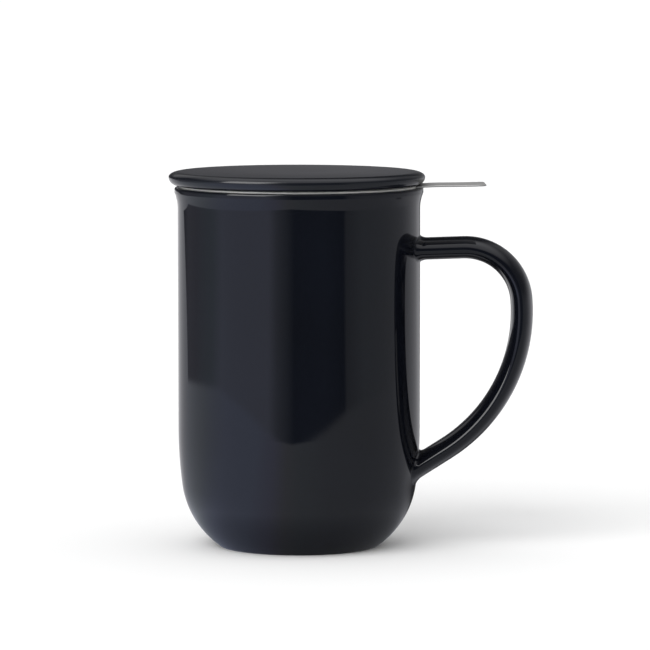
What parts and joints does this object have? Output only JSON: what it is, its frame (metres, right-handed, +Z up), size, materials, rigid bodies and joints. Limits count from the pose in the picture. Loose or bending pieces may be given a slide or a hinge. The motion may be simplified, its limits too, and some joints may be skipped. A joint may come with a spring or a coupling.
{
  "type": "tea mug with infuser and lid",
  "caption": "Glossy dark glazed tea mug with a loop handle, a lift-out steel infuser basket hung from its lip and a loose flat lid.",
  "frame": {"origin": "centre of the foot ring, on the table", "axes": "+Z up through the lid, +X towards the handle, +Y away from the side that the picture shows"},
  "size_m": [0.1248, 0.0878, 0.1291],
  "materials": {
    "mug_glaze": "gloss",
    "lid_glaze": "satin",
    "collar_steel": "satin",
    "basket_steel": "satin"
  },
  "bodies": {
    "mug": {"mug_body": "mug_glaze", "mug_handle": "mug_glaze"},
    "infuser": {"infuser_collar": "collar_steel", "infuser_wall": "basket_steel", "infuser_floor": "basket_steel"},
    "lid": {"lid": "lid_glaze"}
  },
  "joints": [
    {"name": "infuser_lift", "type": "slide", "parent": "mug", "child": "infuser", "axis": [0, 0, 1], "range_m": [0, 0.11]},
    {"name": "lid_lift", "type": "slide", "parent": "infuser", "child": "lid", "axis": [0, 0, 1], "range_m": [0, 0.05]}
  ]
}
